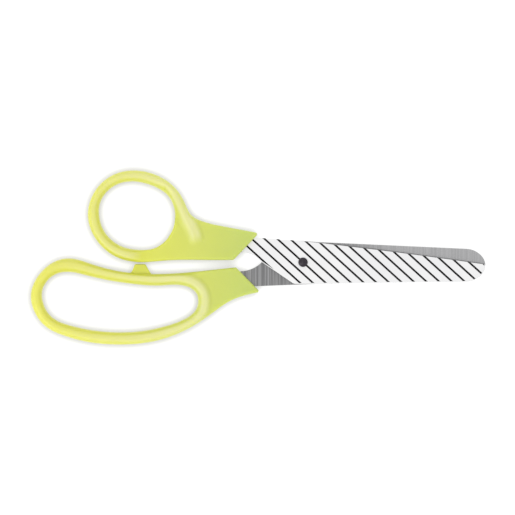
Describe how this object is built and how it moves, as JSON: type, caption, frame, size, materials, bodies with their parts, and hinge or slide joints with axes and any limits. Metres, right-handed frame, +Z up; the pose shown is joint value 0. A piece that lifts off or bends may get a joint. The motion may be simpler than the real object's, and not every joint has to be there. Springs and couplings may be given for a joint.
{
  "type": "craft scissors",
  "caption": "Craft scissors with straight round-tipped blades, diagonal striped print, a round thumb bow and a long finger bow.",
  "frame": {"origin": "centre of the scissors' footprint, on the surface that the bows rest on, as stored nearly closed", "axes": "+X towards the blade tips, +Y towards the thumb bow's side, +Z up, away from the surface"},
  "size_m": [0.2032, 0.0778, 0.009],
  "materials": {
    "coated_blade": "satin white with thin black diagonal lines",
    "ground_steel": "cross-ground stainless steel, white print outside",
    "handle_plastic": "semi-gloss moulded plastic, yellow-green",
    "dark_rivet": "blackened steel",
    "washer_steel": "plain spring steel"
  },
  "bodies": {
    "finger_half": {"finger_handle": "handle_plastic", "rear_blade": "ground_steel", "pivot_rivet": "dark_rivet", "tension_washer": "washer_steel"},
    "thumb_half": {"thumb_handle": "handle_plastic", "front_blade": "coated_blade"}
  },
  "joints": [
    {"name": "pivot", "type": "hinge", "parent": "finger_half", "child": "thumb_half", "pos_m": [0.0201, -0.00212, 0.0045], "axis": [0, 0, -1], "range_deg": [-0.68, 110]}
  ]
}
